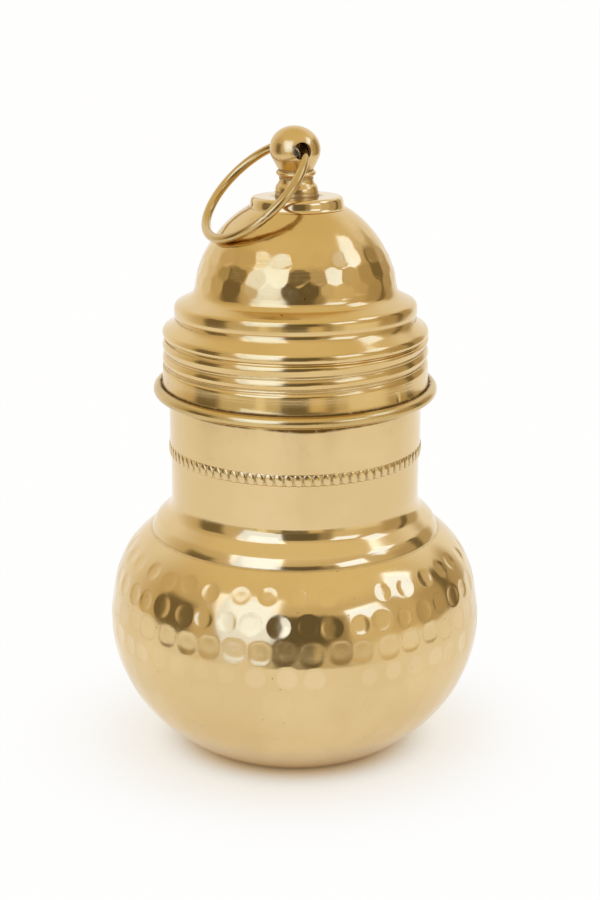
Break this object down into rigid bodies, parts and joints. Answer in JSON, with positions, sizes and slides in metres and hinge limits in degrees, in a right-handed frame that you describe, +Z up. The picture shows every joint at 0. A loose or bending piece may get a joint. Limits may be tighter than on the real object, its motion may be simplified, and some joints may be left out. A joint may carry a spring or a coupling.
{
  "type": "screw-lid water pot",
  "caption": "Round hammered brass water pot with a beaded neck, a domed screw lid, a turned knob and a loose carrying ring.",
  "frame": {"origin": "centre of the flat base, on the table", "axes": "+Z up along the pot's axis, -Y towards the front mouth of the ball's hole, the ring leans towards -X"},
  "size_m": [0.114, 0.114, 0.1937],
  "materials": {
    "hammered_brass": "polished, hand hammered",
    "polished_brass": "polished, fine turning lines",
    "wire_brass": "drawn wire, worn",
    "plain_brass": "plain turned",
    "seal_rubber": "matte"
  },
  "bodies": {
    "pot": {"bowl": "hammered_brass", "collar": "polished_brass", "neck_tube": "polished_brass", "bead_band": "polished_brass", "mouth_thread": "polished_brass"},
    "seal": {"seal_ring": "seal_rubber"},
    "lid": {"lid_skirt": "polished_brass", "rim_ring": "wire_brass", "lid_cap": "hammered_brass", "knob_disc": "polished_brass", "knob": "polished_brass", "stud_washer": "plain_brass", "stud_nut": "plain_brass"},
    "ring": {"carry_ring": "wire_brass"}
  },
  "joints": [
    {"name": "lid_lift", "type": "slide", "parent": "pot", "child": "seal", "axis": [0, 0, 1], "range_m": [0, 0.0241]},
    {"name": "lid_turn", "type": "hinge", "parent": "seal", "child": "lid", "pos_m": [0, 0, 0.1295], "axis": [0, 0, 1], "range_deg": [0, 2160]},
    {"name": "ring_swing", "type": "hinge", "parent": "lid", "child": "ring", "pos_m": [0, 0, 0.1869], "axis": [0, 1, 0], "range_deg": [0, 269]}
  ],
  "couplings": [
    {"joint": "lid_lift", "follows": "lid_turn", "m_per_rad": 0.00063662}
  ]
}
